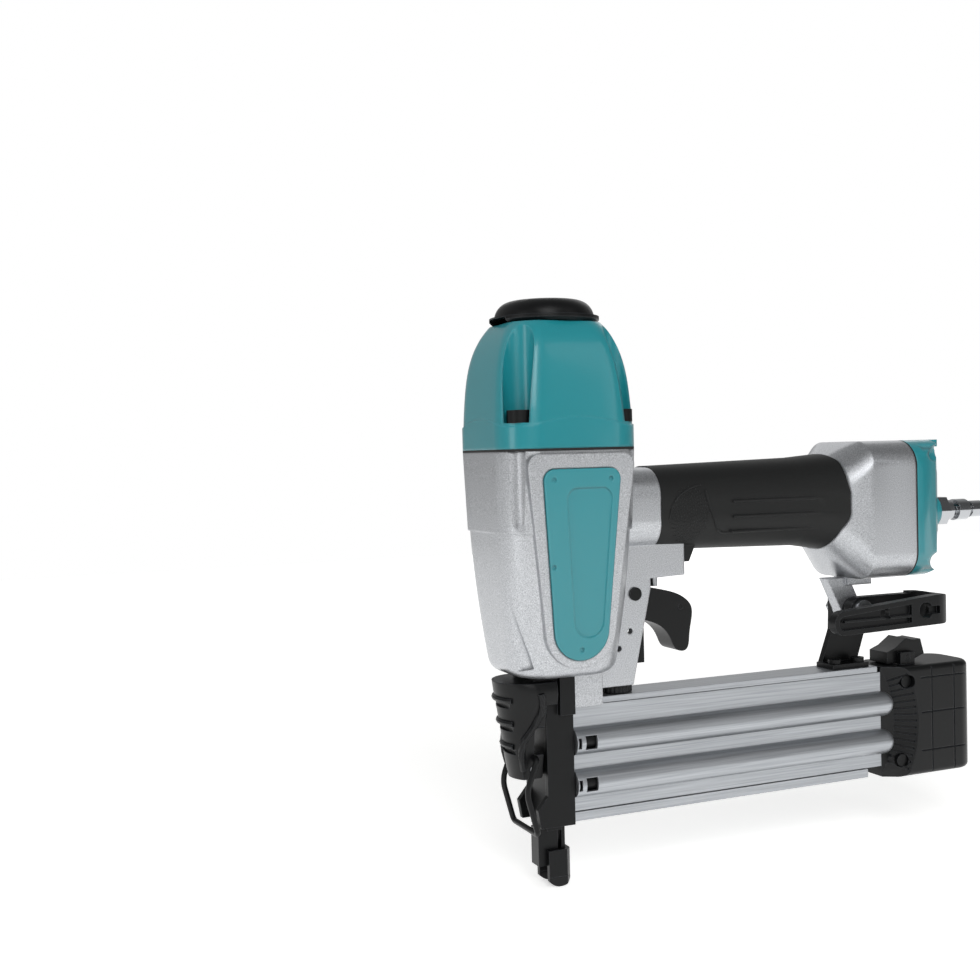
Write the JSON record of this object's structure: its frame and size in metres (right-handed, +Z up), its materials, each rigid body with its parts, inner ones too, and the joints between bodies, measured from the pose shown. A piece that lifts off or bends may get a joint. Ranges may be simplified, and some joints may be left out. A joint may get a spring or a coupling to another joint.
{
  "type": "pneumatic nail gun",
  "caption": "Air-driven brad nailer with a cast head and grip, a hinged quick-release nose, a sliding nail magazine, a belt hook and an air plug.",
  "frame": {"origin": "where the drive axis meets the work, under the contact tip at rest", "axes": "+X to the rear along the handle and magazine, +Z up along the drive axis, -Y towards the side plate"},
  "size_m": [0.259, 0.062, 0.2389],
  "materials": {
    "cast_aluminium": "satin",
    "extruded_aluminium": "brushed",
    "teal_paint": "gloss",
    "black_plastic": "satin",
    "grip_rubber": "matte",
    "seal_rubber": "matte",
    "black_steel": "satin",
    "steel": "brushed",
    "spring_steel": "satin",
    "chrome": "polished"
  },
  "bodies": {
    "body": {"housing": "cast_aluminium", "cylinder": "extruded_aluminium", "cylinder_seals": "seal_rubber", "bumper": "seal_rubber", "cylinder_cap": "teal_paint", "cap_gasket": "seal_rubber", "cap_screws": "black_steel", "head_valve_spring": "spring_steel", "deflector_screw": "black_steel", "side_plate": "teal_paint", "trigger_pin": "black_steel", "valve_body": "black_plastic", "valve_spring": "spring_steel", "grip_sleeve": "grip_rubber", "end_cap": "teal_paint", "end_gasket": "seal_rubber", "end_cap_screws": "black_steel", "air_plug": "chrome", "nose_guide": "black_steel", "nose_screws": "black_steel", "door_pin": "steel", "contact_spring": "spring_steel", "magazine_rail": "extruded_aluminium", "rail_screws": "black_steel", "hanger_arm": "black_steel", "hanger_screws": "black_steel", "belt_hook": "black_steel", "hook_bolt": "steel"},
    "driver": {"piston": "extruded_aluminium", "piston_ring": "seal_rubber", "driver_blade": "steel"},
    "head_valve": {"head_valve": "black_plastic", "head_valve_seal": "seal_rubber"},
    "deflector": {"exhaust_deflector": "black_plastic"},
    "trigger": {"trigger": "black_plastic", "lever_pin": "black_steel"},
    "trigger_lever": {"trigger_lever": "steel"},
    "valve_stem": {"valve_stem": "steel"},
    "contact_element": {"contact_foot": "black_steel", "contact_tip": "black_plastic", "contact_arm": "black_steel"},
    "depth_wheel": {"depth_wheel": "black_plastic", "depth_stud": "steel"},
    "nose_door": {"nose_door": "black_steel", "latch_pin": "steel"},
    "latch_lever": {"latch_lever": "black_plastic"},
    "latch_wire": {"latch_wire": "black_steel"},
    "magazine_slide": {"magazine_slide": "extruded_aluminium", "magazine_end_cap": "black_plastic", "magazine_bolts": "black_steel", "magazine_latch_pin": "black_steel", "pusher_springs": "spring_steel"},
    "pusher": {"pusher": "black_plastic"},
    "magazine_latch": {"magazine_latch": "black_plastic"},
    "duster_button": {"duster_button": "teal_paint"}
  },
  "joints": [
    {"name": "driver_stroke", "type": "slide", "parent": "body", "child": "driver", "axis": [0, 0, -1], "range_m": [0, 0.0727]},
    {"name": "head_valve_lift", "type": "slide", "parent": "body", "child": "head_valve", "axis": [0, 0, 1], "range_m": [0, 0.004], "stiffness_N_per_m": 1500, "springref_m": -0.004, "deforming": ["head_valve_spring"]},
    {"name": "deflector_turn", "type": "hinge", "parent": "body", "child": "deflector", "pos_m": [0, 0, 0.2345], "axis": [0, 0, 1], "continuous": true},
    {"name": "trigger_pull", "type": "hinge", "parent": "body", "child": "trigger", "pos_m": [0.034, 0, 0.118], "axis": [0, -1, 0], "range_deg": [0, 12], "stiffness_Nm_per_rad": 0.5, "springref_deg": -11.46},
    {"name": "trigger_lever_lift", "type": "hinge", "parent": "trigger", "child": "trigger_lever", "pos_m": [0.0583, 0, 0.1106], "axis": [0, 1, 0], "range_deg": [0, 8]},
    {"name": "valve_stem_lift", "type": "slide", "parent": "body", "child": "valve_stem", "axis": [0, 0, 1], "range_m": [0, 0.0016], "deforming": ["valve_spring"]},
    {"name": "contact_press", "type": "slide", "parent": "body", "child": "contact_element", "axis": [0, 0, 1], "range_m": [0, 0.006], "stiffness_N_per_m": 300, "springref_m": -0.006, "deforming": ["contact_spring"]},
    {"name": "depth_wheel_turn", "type": "hinge", "parent": "body", "child": "depth_wheel", "pos_m": [0.0288, 0, 0.0785], "axis": [0, 0, 1], "range_deg": [-360, 360]},
    {"name": "nose_door_open", "type": "hinge", "parent": "body", "child": "nose_door", "pos_m": [-0.0062, 0, 0.0785], "axis": [0, 1, 0], "range_deg": [0, 33]},
    {"name": "latch_lever_open", "type": "hinge", "parent": "nose_door", "child": "latch_lever", "pos_m": [-0.0132, 0, 0.05], "axis": [0, -1, 0], "range_deg": [0, 100]},
    {"name": "latch_wire_swing", "type": "hinge", "parent": "latch_lever", "child": "latch_wire", "pos_m": [-0.0132, 0, 0.055], "axis": [0, 1, 0], "range_deg": [0, 100]},
    {"name": "magazine_open", "type": "slide", "parent": "body", "child": "magazine_slide", "axis": [1, 0, 0], "range_m": [0, 0.145]},
    {"name": "pusher_feed", "type": "slide", "parent": "magazine_slide", "child": "pusher", "axis": [1, 0, 0], "range_m": [0, 0.12], "stiffness_N_per_m": 40, "springref_m": -0.05, "deforming": ["pusher_springs"]},
    {"name": "magazine_latch_press", "type": "hinge", "parent": "magazine_slide", "child": "magazine_latch", "pos_m": [0.177, 0, 0.0792], "axis": [0, 1, 0], "range_deg": [0, 10], "stiffness_Nm_per_rad": 0.5, "springref_deg": -11.46},
    {"name": "duster_press", "type": "slide", "parent": "body", "child": "duster_button", "axis": [0, 0, -1], "range_m": [0, 0.002], "stiffness_N_per_m": 800, "springref_m": -0.001}
  ],
  "couplings": [
    {"joint": "valve_stem_lift", "follows": "trigger_pull", "m_per_rad": 0.00716},
    {"joint": "nose_door_open", "follows": "latch_lever_open", "ratio": 0.33},
    {"joint": "latch_wire_swing", "follows": "latch_lever_open", "ratio": 1}
  ]
}
